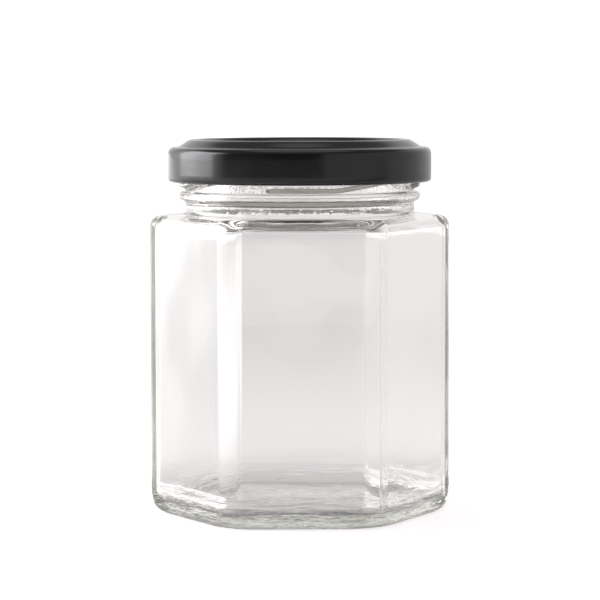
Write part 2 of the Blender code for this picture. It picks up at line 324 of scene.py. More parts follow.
def outside_rows(glass):
    """(half width, corner radius, height) rows: base, walls, shoulder, neck and bead."""
    half, corner, neck = glass.across_flats / 2, glass.corner_radius, glass.neck_radius
    foot_outer = half - HEEL_RADIUS
    foot_inner = foot_outer - FOOT_RING_WIDTH
    rows = []
    for share in BASE_SHARES:
        rows.append((foot_inner * share, blend(foot_inner * share, FOOT_CORNER, share**3),
                     PUSH_UP * (1 - share**2)))
    rows.append((foot_inner, FOOT_CORNER, FOOT_RING_LIFT))
    rows.append((foot_inner + FOOT_RING_EASE, FOOT_CORNER, 0.0))
    heel = arc((foot_outer, HEEL_RADIUS), HEEL_RADIUS, -90, 0, HEEL_STEPS)
    over_heel = np.linspace(HEEL_RADIUS, FOOT_BLEND_HEIGHT, FOOT_BLEND_STEPS + 1)[1:]
    for x, z in heel + [(half, z) for z in over_heel]:
        grown = max(0.0, 1.0 - z / FOOT_BLEND_HEIGHT) ** 2
        rows.append((x, blend(corner, FOOT_CORNER, grown), z))
    for z in np.linspace(FOOT_BLEND_HEIGHT, SHOULDER_START_Z, WALL_STEPS + 1)[1:-1]:
        rows.append((half, corner, z))
    edge = arc((half - SHOULDER_RADIUS, SHOULDER_START_Z), SHOULDER_RADIUS, 0, SHOULDER_TURN,
               EDGE_STEPS)
    for i, (x, z) in enumerate(edge):
        rows.append((x, blend(corner, SHOULDER_TOP_CORNER, ease(i / EDGE_STEPS)), z))
    last_x, last_z = edge[-1]
    fillet_x = neck + NECK_FILLET
    for share in np.linspace(0.0, 1.0, SLOPE_STEPS + 1)[1:]:
        x = blend(last_x, fillet_x, share)
        rows.append((x, blend(SHOULDER_TOP_CORNER, fillet_x, share * (1.6 - 0.6 * share)),
                     blend(last_z, NECK_START_Z - NECK_FILLET, share)))
    round_part = arc((fillet_x, NECK_START_Z), NECK_FILLET, -90, -180, NECK_FILLET_STEPS)[1:]
    round_part += [(neck, z) for z in np.linspace(NECK_START_Z, BEAD_LOW_Z, NECK_STEPS + 1)[1:-1]]
    bead = [(blend(neck, glass.bead_radius, out), blend(BEAD_LOW_Z, BEAD_HIGH_Z, up))
            for out, up in BEAD]
    round_part += smooth_through(bead, BEAD_STEPS)
    return rows + [(r, r, z) for r, z in round_part]


def thread_rows(glass):
    """The threaded part of the neck, in fine steps, and over the rim to the inside."""
    neck, mouth, rim = glass.neck_radius, glass.mouth_radius, JAR_HIGH.z
    rows = [(neck, z) for z in np.linspace(BEAD_HIGH_Z, rim - RIM_ROUND, THREAD_STEPS + 1)[1:-1]]
    rows += arc((neck - RIM_ROUND, rim - RIM_ROUND), RIM_ROUND, 0, 90, RIM_STEPS)
    rows += arc((mouth + RIM_ROUND, rim - RIM_ROUND), RIM_ROUND, 90, 180, RIM_STEPS)
    return [(r, r, z) for r, z in rows]


def inside_rows(glass):
    """Down the mouth, out under the shoulder, down the walls and in over the floor."""
    half = glass.across_flats / 2 - glass.wall
    mouth = glass.mouth_radius
    down_mouth = np.linspace(JAR_HIGH.z - RIM_ROUND, INNER_SHOULDER_TOP_Z, MOUTH_STEPS + 1)[1:-1]
    rows = [(mouth, mouth, z) for z in down_mouth]
    for out, up in smooth_through(INNER_SHOULDER, INNER_SHOULDER_STEPS):
        out = min(max(out, 0.0), 1.0)
        rows.append((blend(mouth, half, out), blend(mouth, INNER_CORNER, out**1.2),
                     blend(INNER_SHOULDER_LOW_Z, INNER_SHOULDER_TOP_Z, up)))
    fillet_z = FLOOR_EDGE_Z + FLOOR_FILLET
    for z in np.linspace(INNER_SHOULDER_LOW_Z, fillet_z, WALL_STEPS + 1)[1:-1]:
        rows.append((half, INNER_CORNER, z))
    edge = arc((half - FLOOR_FILLET, fillet_z), FLOOR_FILLET, 0, -90, FLOOR_FILLET_STEPS)
    for i, (x, z) in enumerate(edge):
        rows.append((x, blend(INNER_CORNER, FLOOR_CORNER, i / FLOOR_FILLET_STEPS), z))
    floor = edge[-1][0]
    for share in FLOOR_SHARES:
        rows.append((floor * share, blend(floor * share, FLOOR_CORNER, share**3),
                     blend(FLOOR_MIDDLE_Z, FLOOR_EDGE_Z, share**2)))
    return rows


def gentle_wave(around, height, phase):
    """Slow unevenness of moulded glass, from -1 to 1."""
    lift = height / WAVE_HEIGHT
    waves = [np.sin(count * around + slant * lift + share * phase) for count, slant, share in WAVES]
    return sum(waves) / len(waves)


def thread_relief(around, height, glass):
    """How far the thread ridges stand out of the neck at these angles from the front."""
    relief = np.zeros_like(around)
    for start in range(glass.thread_starts):
        local = around - 2 * math.pi * start / glass.thread_starts
        local = (local + math.pi) % (2 * math.pi) - math.pi
        lift = np.maximum(0.0, local - THREAD_LEVEL_TO) * glass.neck_radius * THREAD_RISE
        up = height - THREAD_ROOT_Z - lift
        rise = ease(up / THREAD_CREST_LOW)
        fall = ease((THREAD_ROOT_HEIGHT - up) / (THREAD_ROOT_HEIGHT - THREAD_CREST_HIGH))
        start_taper = ease((local - THREAD_FROM) / THREAD_END_TAPER)
        end_taper = ease((THREAD_TO - local) / THREAD_END_TAPER)
        relief = np.maximum(relief, np.minimum(rise, fall) * (start_taper * end_taper))
    return relief * (glass.thread_radius - glass.neck_radius)


def glass_rings(glass):
    """Every ring of points of the glass, from the middle of the base over the rim to its floor."""
    off_corner = np.tile(sector_directions(), SIDES)
    corner_degrees = 2 * HALF_SIDE_DEGREES * (np.arange(SIDES) - 1)
    corner_at = np.repeat(np.radians(corner_degrees), len(off_corner) // SIDES)
    polar = off_corner + corner_at
    around = polar - FRONT
    on_seam = (off_corner == 0.0) & np.isin(np.round(np.degrees(corner_at)), SEAM_CORNERS)
    outside, threads, inside = outside_rows(glass), thread_rows(glass), inside_rows(glass)
    rings = []
    for i, (half, corner, z) in enumerate(outside + threads + inside):
        reach = section_reach(half, min(corner, half), off_corner)
        if HEEL_RADIUS < z < SHOULDER_START_Z:
            fade = ease((z - HEEL_RADIUS) / WAVE_FADE) * ease((SHOULDER_START_Z - z) / WAVE_FADE)
            depth = fade * glass.unevenness
            if i < len(outside):
                reach = reach - depth * (1 + gentle_wave(around, z, OUTSIDE_PHASE)) / OUTSIDE_CALMER
                reach = reach + np.where(on_seam, glass.seam_height, 0.0)
            else:
                reach = reach + depth * gentle_wave(around, z, INSIDE_PHASE)
        if len(outside) <= i < len(outside) + len(threads) and z < JAR_HIGH.z - RIM_ROUND:
            reach = reach + thread_relief(around, z, glass)
        x, y = reach * np.cos(polar), reach * np.sin(polar)
        rings.append(np.column_stack((x, y, np.full_like(reach, z))))
    return rings


def glass_mesh(glass):
    rings = glass_rings(glass)
    count = len(rings[0])
    points = [tuple(p) for ring in rings for p in ring]
    points += [(0.0, 0.0, PUSH_UP), (0.0, 0.0, FLOOR_MIDDLE_Z)]
    base, floor = len(points) - 2, len(points) - 1
    last = (len(rings) - 1) * count
    faces = []
    for row in range(len(rings) - 1):
        low, high = row * count, (row + 1) * count
        for i in range(count):
            j = (i + 1) % count
            faces.append((low + i, low + j, high + j, high + i))
    for i in range(count):
        j = (i + 1) % count
        faces.append((base, j, i))
        faces.append((last + i, last + j, floor))
    return make_mesh("glass_jar", points, faces)


# Shape of the lid and the sealing ring

def lid_profile(lid):
    """The outside of the lid from the middle of its panel over the ring and down round the curl."""
    top, bottom, radius = LID_HIGH.z, LID_LOW.z, LID_HIGH.x
    panel_z = top - LID_PANEL_DROP
    inner, outer = lid.ring_radius - CREST_HALF_WIDTH, lid.ring_radius + CREST_HALF_WIDTH
    line = [
        (LID_PANEL_EASE, panel_z), (LID_PANEL_RADIUS, panel_z),
        (blend(LID_PANEL_RADIUS, inner, 0.5), blend(panel_z, top, 0.6)),
        (inner, top), (outer, top),
    ]
    for out, down in RING_SLOPE:
        line.append((blend(outer, LID_LEDGE_RADIUS, out), blend(top, LID_LEDGE_Z, down)))
    line.append((LID_LEDGE_RADIUS, LID_LEDGE_Z))
    flat = [(x, panel_z) for x in np.linspace(0.0, LID_PANEL_FLAT, LID_PANEL_POINTS)]
    edge_z = LID_LEDGE_Z - LID_EDGE_ROUND
    edge = arc((radius - LID_EDGE_ROUND, edge_z), LID_EDGE_ROUND, 90, 0, LID_EDGE_STEPS)
    curl_centre = (radius - lid.curl_radius, bottom + lid.curl_radius)
    skirt = [(radius, z) for z in np.linspace(edge_z, curl_centre[1], LID_SKIRT_STEPS + 1)[1:-1]]
    curl = arc(curl_centre, lid.curl_radius, 0, -CURL_TURN, CURL_STEPS)
    return flat + corners_cut(line)[:-1] + edge + skirt + curl


def seal_profile(seal):
    """The ring's outline, up its inner side, over the top and down its outer side."""
    inner, outer = seal.inner_radius, SEAL_HIGH.x
    low, high = SEAL_LOW.z, SEAL_HIGH.z
    crown = blend(low, high, SEAL_CROWN)
    points = [
        (blend(inner, outer, 0.5), low), (inner + 0.2 * MM, low), (inner, low + 0.3 * MM),
        (inner + 0.15 * MM, high - 0.1 * MM), (inner + 1.2 * MM, high),
        (outer - 0.4 * MM, crown), (outer, low + 0.25 * MM), (outer - 0.3 * MM, low),
        (blend(inner, outer, 0.5), low),
    ]
    return corners_cut(points)


def lug_mesh(lid):
    """One lug, a rounded tongue pressed in from the curl, at angle 0."""
    low, high = LID_LOW.z + LUG_LOW, LID_LOW.z + LUG_HIGH
    back = LID_HIGH.x - LUG_ROOT
    rings = []
    for share in np.linspace(-1.0, 1.0, LUG_STATIONS):
        turn = share * lid.lug_half_width
        tongue = blend(lid.lug_reach, LUG_END_REACH, abs(share) ** 4)
        section = [(back - tongue * (1 - out), blend(low, high, up)) for out, up in LUG_SECTION]
        rings.append([(r * math.cos(turn), r * math.sin(turn), z) for r, z in section])
    count = len(LUG_SECTION)
    points = [p for ring in rings for p in ring]
    faces = []
    for start in range(0, len(points) - count, count):
        for i in range(count):
            j = (i + 1) % count
            faces.append((start + j, start + i, start + count + i, start + count + j))
    faces.append(tuple(range(count)))
    faces.append(tuple(reversed(range(len(points) - count, len(points)))))
    return make_mesh("lug", points, faces)


# Geometry Nodes

def new_tree(name, inputs):
    tree = bpy.data.node_groups.new(name, "GeometryNodeTree")
    tree.interface.new_socket("Geometry", in_out="INPUT", socket_type="NodeSocketGeometry")
    for socket_name, kind, default in inputs:
        socket = tree.interface.new_socket(socket_name, in_out="INPUT", socket_type=kind)
        if default is not None:
            socket.default_value = default
    tree.interface.new_socket("Geometry", in_out="OUTPUT", socket_type="NodeSocketGeometry")
    return tree, tree.nodes.new("NodeGroupInput"), tree.nodes.new("NodeGroupOutput")


def math_node(tree, operation, first, second=None):
    node = tree.nodes.new("ShaderNodeMath")
    node.operation = operation
    for socket, value in zip(node.inputs, (first, second)):
        if value is None:
            continue
        if isinstance(value, (int, float)):
            socket.default_value = value
        else:
            tree.links.new(value, socket)
    return node.outputs[0]


def turning_tree():
    """Turns a line of points in the XZ plane about the axis, and closes the join and the middle."""
    inputs = (("Steps", "NodeSocketInt", SEAL_STEPS),
              ("Closing Distance", "NodeSocketFloat", CLOSING_DISTANCE),
              ("Material", "NodeSocketMaterial", None))
    tree, given, result = new_tree("turned_round", inputs)
    links = tree.links
    size = tree.nodes.new("GeometryNodeAttributeDomainSize")
    links.new(given.outputs["Geometry"], size.inputs["Geometry"])
    columns = math_node(tree, "ADD", given.outputs["Steps"], 1.0)
    grid = tree.nodes.new("GeometryNodeMeshGrid")
    links.new(size.outputs["Point Count"], grid.inputs["Vertices X"])
    links.new(columns, grid.inputs["Vertices Y"])
    index = tree.nodes.new("GeometryNodeInputIndex").outputs[0]
    rows_passed = math_node(tree, "DIVIDE", math_node(tree, "ADD", index, 0.5), columns)
    row = math_node(tree, "FLOOR", rows_passed)
    column = math_node(tree, "SUBTRACT", index, math_node(tree, "MULTIPLY", row, columns))
    whole_turns = math_node(tree, "MULTIPLY", column, 2 * math.pi)
    turn = math_node(tree, "DIVIDE", whole_turns, given.outputs["Steps"])
    place = tree.nodes.new("GeometryNodeInputPosition")
    sample = tree.nodes.new("GeometryNodeSampleIndex")
    sample.data_type = "FLOAT_VECTOR"
    sample.domain = "POINT"
    links.new(given.outputs["Geometry"], sample.inputs["Geometry"])
    links.new(place.outputs[0], sample.inputs["Value"])
    links.new(row, sample.inputs["Index"])
    split = tree.nodes.new("ShaderNodeSeparateXYZ")
    links.new(sample.outputs["Value"], split.inputs[0])
    join = tree.nodes.new("ShaderNodeCombineXYZ")
    for axis, ratio in (("X", "COSINE"), ("Y", "SINE")):
        reach = math_node(tree, "MULTIPLY", split.outputs["X"], math_node(tree, ratio, turn))
        links.new(reach, join.inputs[axis])
    links.new(split.outputs["Z"], join.inputs["Z"])
    move = tree.nodes.new("GeometryNodeSetPosition")
    links.new(grid.outputs["Mesh"], move.inputs["Geometry"])
    links.new(join.outputs[0], move.inputs["Position"])
    close = tree.nodes.new("GeometryNodeMergeByDistance")
    links.new(move.outputs[0], close.inputs["Geometry"])
    links.new(given.outputs["Closing Distance"], close.inputs["Distance"])
    finish_tree(tree, close.outputs[0], given, result)
    return tree


def circle_tree():
    """Repeats a mesh about the axis at even angles."""
    inputs = (("Count", "NodeSocketInt", 4), ("First Angle", "NodeSocketFloat", 0.0),
              ("Material", "NodeSocketMaterial", None))
    tree, given, result = new_tree("repeated_round_axis", inputs)
    links = tree.links
    points = tree.nodes.new("GeometryNodePoints")
    links.new(given.outputs["Count"], points.inputs["Count"])
    points.inputs["Position"].default_value = (0.0, 0.0, 0.0)
    index = tree.nodes.new("GeometryNodeInputIndex").outputs[0]
    step = math_node(tree, "DIVIDE", 2 * math.pi, given.outputs["Count"])
    from_first = math_node(tree, "MULTIPLY", index, step)
    turn = math_node(tree, "ADD", from_first, given.outputs["First Angle"])
    rotation = tree.nodes.new("ShaderNodeCombineXYZ")
    links.new(turn, rotation.inputs["Z"])
    copies = tree.nodes.new("GeometryNodeInstanceOnPoints")
    links.new(points.outputs[0], copies.inputs["Points"])
    links.new(given.outputs["Geometry"], copies.inputs["Instance"])
    links.new(rotation.outputs[0], copies.inputs["Rotation"])
    finish_tree(tree, copies.outputs[0], given, result)
    return tree


def finish_tree(tree, geometry, given, result):
    """Real geometry, smooth shading and the finish, at the end of every tree."""
    real = tree.nodes.new("GeometryNodeRealizeInstances")
    tree.links.new(geometry, real.inputs[0])
    smooth = tree.nodes.new("GeometryNodeSetShadeSmooth")
    tree.links.new(real.outputs[0], smooth.inputs[0])
    paint = tree.nodes.new("GeometryNodeSetMaterial")
    tree.links.new(smooth.outputs[0], paint.inputs["Geometry"])
    tree.links.new(given.outputs["Material"], paint.inputs["Material"])
    tree.links.new(paint.outputs[0], result.inputs[0])


def grown_piece(name, mesh, tree, values):
    """Runs a tree on a mesh and keeps the result as a plain piece."""
    seed = add_piece(name + "_start", mesh, [])
    modifier = seed.modifiers.new(tree.name, "NODES")
    modifier.node_group = tree
    for socket in tree.interface.items_tree:
        if socket.in_out == "INPUT" and socket.name in values:
            modifier[socket.identifier] = values[socket.name]
    bpy.context.view_layer.update()
    graph = bpy.context.evaluated_depsgraph_get()
    result = bpy.data.meshes.new_from_object(seed.evaluated_get(graph), depsgraph=graph)
    seed.modifiers.clear()
    bpy.data.objects.remove(seed, do_unlink=True)
    if not result.polygons:
        raise RuntimeError(name + " came out empty")
    result.name = name
    return add_piece(name, result, [])


def line_mesh(name, profile):
    mesh = bpy.data.meshes.new(name)
    edges = [(i, i + 1) for i in range(len(profile) - 1)]
    mesh.from_pydata([(r, 0.0, z) for r, z in profile], edges, [])
    return mesh


# Materials

def grain_group():
    """Unevenness on Object coordinates: a height, and a mask of the same grain."""
    found = bpy.data.node_groups.get("surface_grain")
    if found:
        return found
    tree = bpy.data.node_groups.new("surface_grain", "ShaderNodeTree")
    for name, kind, default in (("Scale", "NodeSocketFloat", 100.0),
                                ("Stretch", "NodeSocketVector", EVEN),
                                ("Detail", "NodeSocketFloat", 3.0)):
        tree.interface.new_socket(name, in_out="INPUT", socket_type=kind).default_value = default
    for name in ("Height", "Mask"):
        tree.interface.new_socket(name, in_out="OUTPUT", socket_type="NodeSocketFloat")
    given, result = tree.nodes.new("NodeGroupInput"), tree.nodes.new("NodeGroupOutput")
    place = tree.nodes.new("ShaderNodeTexCoord")
    stretched = tree.nodes.new("ShaderNodeVectorMath")
    stretched.operation = "MULTIPLY"
    noise = tree.nodes.new("ShaderNodeTexNoise")
    tree.links.new(place.outputs["Object"], stretched.inputs[0])
    tree.links.new(given.outputs["Stretch"], stretched.inputs[1])
    tree.links.new(stretched.outputs[0], noise.inputs["Vector"])
    tree.links.new(given.outputs["Scale"], noise.inputs["Scale"])
    tree.links.new(given.outputs["Detail"], noise.inputs["Detail"])
    tree.links.new(noise.outputs["Fac"], result.inputs["Height"])
    spread = tree.nodes.new("ShaderNodeMapRange")
    for socket, value in zip(("From Min", "From Max"), MASK_RANGE):
        spread.inputs[socket].default_value = value
    tree.links.new(noise.outputs["Fac"], spread.inputs["Value"])
    tree.links.new(spread.outputs[0], result.inputs["Mask"])
    return tree


def new_material(name, color, roughness):
    material = bpy.data.materials.new(name)
    material.use_nodes = True
    shader = material.node_tree.nodes["Principled BSDF"]
    shader.inputs["Base Color"].default_value = (*color, 1.0)
    shader.inputs["Roughness"].default_value = roughness
    return material, material.node_tree, shader


def add_grain(tree, scale, stretch, detail):
    grain = tree.nodes.new("ShaderNodeGroup")
    grain.node_tree = grain_group()
    grain.inputs["Scale"].default_value = scale
    grain.inputs["Stretch"].default_value = stretch
    grain.inputs["Detail"].default_value = detail
    return grain


def add_bump(tree, height, distance, below=None):
    bump = tree.nodes.new("ShaderNodeBump")
    bump.inputs["Distance"].default_value = distance
    tree.links.new(height, bump.inputs["Height"])
    if below:
        tree.links.new(below, bump.inputs["Normal"])
    return bump.outputs["Normal"]


def ranged(tree, value, source, target=(0.0, 1.0)):
    """Smoothly turns the first range of a value into the second."""
    node = tree.nodes.new("ShaderNodeMapRange")
    node.interpolation_type = "SMOOTHSTEP"
    for socket, number in zip(("From Min", "From Max", "To Min", "To Max"), (*source, *target)):
        node.inputs[socket].default_value = number
    tree.links.new(value, node.inputs["Value"])
    return node.outputs[0]


def height_band(tree, low, high):
    """A mask along Z that goes from 0 at low to 1 at high."""
    place = tree.nodes.new("ShaderNodeTexCoord")
    split = tree.nodes.new("ShaderNodeSeparateXYZ")
    tree.links.new(place.outputs["Object"], split.inputs[0])
    return ranged(tree, split.outputs["Z"], (low, high))


def mottle_color(tree, shader, mask, color, darkest, lightest):
    """Lets the base colour wander between two shades of itself."""
    tone = tree.nodes.new("ShaderNodeMix")
    tone.data_type = "RGBA"
    tone.inputs["A"].default_value = (*[c * darkest for c in color], 1.0)
    tone.inputs["B"].default_value = (*[c * lightest for c in color], 1.0)
    tree.links.new(mask, tone.inputs["Factor"])
    tree.links.new(tone.outputs["Result"], shader.inputs["Base Color"])


def glass_material(glass):
    """Clear glass: slow waves in the walls, ripple at the neck, streaks and stipple at the base."""
    material, tree, shader = new_material("clear_glass", WHITE[:3], 0.0)
    shader.inputs["Transmission Weight"].default_value = 1.0
    shader.inputs["IOR"].default_value = GLASS_IOR
    inside = tree.nodes.new("ShaderNodeVolumeAbsorption")
    inside.inputs["Color"].default_value = (*glass.tint, 1.0)
    inside.inputs["Density"].default_value = glass.tint_density
    tree.links.new(inside.outputs[0], tree.nodes["Material Output"].inputs["Volume"])
    wall = add_grain(tree, *WALL_GRAIN)
    normal = add_bump(tree, wall.outputs["Height"], WALL_DEPTH)
    for grain, output, band, depth in ((NECK_GRAIN, "Height", NECK_BAND, NECK_DEPTH),
                                       (BASE_GRAIN, "Height", BASE_BAND, BASE_DEPTH),
                                       (FOOT_GRAIN, "Mask", FOOT_BAND, FOOT_DEPTH)):
        surface = add_grain(tree, *grain).outputs[output]
        normal = add_bump(tree, math_node(tree, "MULTIPLY", surface, height_band(tree, *band)),
                          depth, normal)
    tree.links.new(normal, shader.inputs["Normal"])
    return material


def enamel_material(lid):
    """Black stoving enamel on sheet metal: smooth, a little uneven, softly glossy."""
    material, tree, shader = new_material("black_enamel", lid.enamel_color, lid.enamel_roughness)
    shader.inputs["IOR"].default_value = ENAMEL_IOR
    shader.inputs["Specular Tint"].default_value = ENAMEL_GLOSS_TINT
    cloud = add_grain(tree, *ENAMEL_CLOUD)
    gloss = tree.nodes.new("ShaderNodeMapRange")
    gloss.inputs["To Min"].default_value = lid.enamel_roughness * 0.9
    gloss.inputs["To Max"].default_value = lid.enamel_roughness * 1.15
    tree.links.new(cloud.outputs["Mask"], gloss.inputs["Value"])
    tree.links.new(gloss.outputs[0], shader.inputs["Roughness"])
    peel = add_grain(tree, *ENAMEL_PEEL)
    tree.links.new(add_bump(tree, peel.outputs["Height"], PEEL_DEPTH), shader.inputs["Normal"])
    mottle_color(tree, shader, cloud.outputs["Mask"], lid.enamel_color, 0.85, 1.2)
    return material


def lacquer_material(lid):
    """The pale lacquer on the inside of the lid."""
    material, tree, shader = new_material("lid_lacquer", lid.lacquer_color, LACQUER_ROUGHNESS)
    cloud = add_grain(tree, *LACQUER_CLOUD)
    mottle_color(tree, shader, cloud.outputs["Mask"], lid.lacquer_color, 0.94, 1.0)
    tree.links.new(add_bump(tree, cloud.outputs["Height"], LACQUER_DEPTH), shader.inputs["Normal"])
    return material


def compound_material(seal):
    """Soft off-white sealing compound with a fine matt skin."""
    material, tree, shader = new_material("sealing_compound", seal.color, COMPOUND_ROUGHNESS)
    cloud = add_grain(tree, *COMPOUND_CLOUD)
    mottle_color(tree, shader, cloud.outputs["Mask"], seal.color, 0.9, 1.0)
    tree.links.new(add_bump(tree, cloud.outputs["Height"], COMPOUND_DEPTH), shader.inputs["Normal"])
    return material


# Sizes and colours that a user would change

class GlassSizes(bpy.types.PropertyGroup):
    across_flats: FloatProperty(
        name="Across flats", description="Width of the body between opposite flats",
        default=2 * JAR_HIGH.y, unit="LENGTH")
    corner_radius: FloatProperty(
        name="Corner radius", description="Rounding of the upright corners",
        default=5.0 * MM, unit="LENGTH")
    wall: FloatProperty(
        name="Wall", description="Thickness of the walls",
        default=2.7 * MM, unit="LENGTH")
    neck_radius: FloatProperty(
        name="Neck radius", description="Outer radius of the neck under the thread",
        default=28.8 * MM, unit="LENGTH")
    mouth_radius: FloatProperty(
        name="Mouth radius", description="Inner radius of the neck",
        default=26.3 * MM, unit="LENGTH")
    bead_radius: FloatProperty(
        name="Bead radius", description="Outer radius of the bead under the lid",
        default=30.25 * MM, unit="LENGTH")
    thread_radius: FloatProperty(
        name="Thread radius", description="Outer radius of the thread ridges",
        default=30.4 * MM, unit="LENGTH")
    thread_starts: IntProperty(
        name="Thread starts", description="Thread ridges round the neck",
        default=4, min=1)
    unevenness: FloatProperty(
        name="Unevenness", description="Depth of the slow waves in the walls",
        default=0.09 * MM, unit="LENGTH")
    seam_height: FloatProperty(
        name="Seam height", description="Ridge where the halves of the mould meet",
        default=0.12 * MM, unit="LENGTH")
    tint: FloatVectorProperty(
        name="Tint", description="Colour that thick glass turns light to",
        default=(0.7, 0.73, 0.65), min=0.0, max=1.0, subtype="COLOR")
    tint_density: FloatProperty(
        name="Tint density", description="Strength of the tint for each metre of glass",
        default=12.0, min=0.0)


class LidSizes(bpy.types.PropertyGroup):
    ring_radius: FloatProperty(
        name="Ring radius", description="Radius of the raised ring on the lid",
        default=27.0 * MM, unit="LENGTH")
    curl_radius: FloatProperty(
        name="Curl radius", description="Radius of the curled lower edge",
        default=0.95 * MM, unit="LENGTH")
    sheet: FloatProperty(
        name="Sheet", description="Thickness of the metal sheet",
        default=0.3 * MM, unit="LENGTH")
    steps: IntProperty(
        name="Steps", description="Steps round the lid",
        default=256, min=24)
    lug_count: IntProperty(
        name="Lugs", description="Lugs that hold the lid under the threads",
        default=4, min=1)
    lug_angle: FloatProperty(
        name="First lug", description="Direction of the first lug",
        default=FRONT + math.radians(60.0), subtype="ANGLE")
    lug_half_width: FloatProperty(
        name="Lug half width", description="Half of the angle that a lug takes",
        default=math.radians(6.0), subtype="ANGLE")
    lug_reach: FloatProperty(
        name="Lug reach", description="How far a lug reaches in from the curl",
        default=1.7 * MM, unit="LENGTH")
    enamel_color: FloatVectorProperty(
        name="Enamel", description="Colour of the outside",
        default=(0.005, 0.005, 0.0055), min=0.0, max=1.0, subtype="COLOR")
    enamel_roughness: FloatProperty(
        name="Enamel roughness", description="How soft the gloss is",
        default=0.14, min=0.0, max=1.0, subtype="FACTOR")
    lacquer_color: FloatVectorProperty(
        name="Lacquer", description="Colour of the inside",
        default=(0.86, 0.85, 0.76), min=0.0, max=1.0, subtype="COLOR")


class SealSizes(bpy.types.PropertyGroup):
    inner_radius: FloatProperty(
        name="Inner radius", description="Inner radius of the sealing ring",
        default=26.0 * MM, unit="LENGTH")
    color: FloatVectorProperty(
        name="Compound", description="Colour of the sealing compound",
        default=(0.78, 0.77, 0.72), min=0.0, max=1.0, subtype="COLOR")


class StudioSizes(bpy.types.PropertyGroup):
    distance: FloatProperty(
        name="Camera distance", description="From the jar's axis to the camera",
        default=0.69, unit="LENGTH")
    height: FloatProperty(
        name="Camera height", description="Height of the camera over the floor",
        default=0.1071, unit="LENGTH")
    pitch: FloatProperty(
        name="Camera pitch", description="How far the camera looks down",
        default=math.radians(4.45), subtype="ANGLE")
    side: FloatProperty(
        name="Camera side", description="How far the camera stands to the left of the front",
        default=math.radians(1.3), subtype="ANGLE")
    roll: FloatProperty(
        name="Camera roll", description="Tilt of the camera about its own axis",
        default=math.radians(0.128), subtype="ANGLE")
    lens: FloatProperty(
        name="Lens", description="Focal length on a sensor 36 mm wide, in millimetres",
        default=164.4, min=1.0)
    floor_half_width: FloatProperty(
        name="Floor half width", description="From the jar to each side of the floor",
        default=2.2, unit="LENGTH")
    floor_front: FloatProperty(
        name="Floor front", description="From the jar to the front edge of the floor",
        default=0.6, unit="LENGTH")
    floor_back: FloatProperty(
        name="Floor back", description="From the jar to the back edge of the floor",
        default=9.0, unit="LENGTH")
    floor_color: FloatVectorProperty(
        name="Floor", description="Colour of the floor",
        default=(0.62, 0.62, 0.62), min=0.0, max=1.0, subtype="COLOR")


# Operators

class BuildGlassJar(bpy.types.Operator):
    """Makes the glass body with its shoulder, bead, thread ridges and rim"""
    bl_idname = "glass_jar.build_glass"
    bl_label = "Glass Jar"

    def execute(self, context):
        glass = context.scene.jar_glass
        piece = add_piece("glass_jar", glass_mesh(glass), [glass_material(glass)])
        keep_piece(piece, "jar")
        return {"FINISHED"}


class BuildLid(bpy.types.Operator):
    """Makes the turned metal lid, its pale lacquered inside and its four lugs"""
    bl_idname = "glass_jar.build_lid"
    bl_label = "Twist-Off Lid"

    def execute(self, context):
        lid = context.scene.jar_lid
        enamel, lacquer = enamel_material(lid), lacquer_material(lid)
        shell = grown_piece("lid_shell", line_mesh("lid_line", lid_profile(lid)), turning_tree(),
                            {"Steps": lid.steps, "Material": enamel})
        shell.data.materials.append(lacquer)
        sheet = shell.modifiers.new("sheet", "SOLIDIFY")
        sheet.thickness = lid.sheet
        sheet.offset = -1.0
        sheet.material_offset = 1
        keep_piece(shell, "lid")
        lugs = grown_piece("lid_lugs", lug_mesh(lid), circle_tree(),
                           {"Count": lid.lug_count, "First Angle": lid.lug_angle,
                            "Material": enamel})
        keep_piece(lugs, None)
        return {"FINISHED"}


class BuildSealingRing(bpy.types.Operator):
    """Makes the soft sealing ring that lies on the rim, inside the lid"""
    bl_idname = "glass_jar.build_seal"
    bl_label = "Sealing Ring"

    def execute(self, context):
        seal = context.scene.jar_seal
        line = line_mesh("seal_line", seal_profile(seal))
        piece = grown_piece("sealing_ring", line, turning_tree(),
                            {"Steps": SEAL_STEPS, "Material": compound_material(seal)})
        keep_piece(piece, "seal")
        return {"FINISHED"}


class BuildStudio(bpy.types.Operator):
    """Makes the pale floor, the surrounding light and the camera of the photograph"""
    bl_idname = "glass_jar.build_studio"
    bl_label = "Studio"

    def execute(self, context):
        studio = context.scene.jar_studio
        add_floor(studio)
        add_surroundings(context.scene)
        add_camera(context.scene, studio)
        context.scene.view_settings.view_transform = "Standard"
        for name, value in CYCLES_SETTINGS.items():
            setattr(context.scene.cycles, name, value)
        return {"FINISHED"}


# Studio

def add_floor(studio):
    across = np.linspace(-studio.floor_half_width, studio.floor_half_width, FLOOR_ACROSS + 1)
    along = np.linspace(-studio.floor_front, studio.floor_back, FLOOR_ALONG + 1)
    points = [(x, y, -FLOOR_GAP) for y in along for x in across]
    row = FLOOR_ACROSS + 1
    starts = [j * row + i for j in range(FLOOR_ALONG) for i in range(FLOOR_ACROSS)]
    faces = [(k, k + 1, k + row + 1, k + row) for k in starts]
    mesh = make_mesh("studio_floor", points, faces)
    floor = add_piece("studio_floor", mesh, [floor_material(studio)])


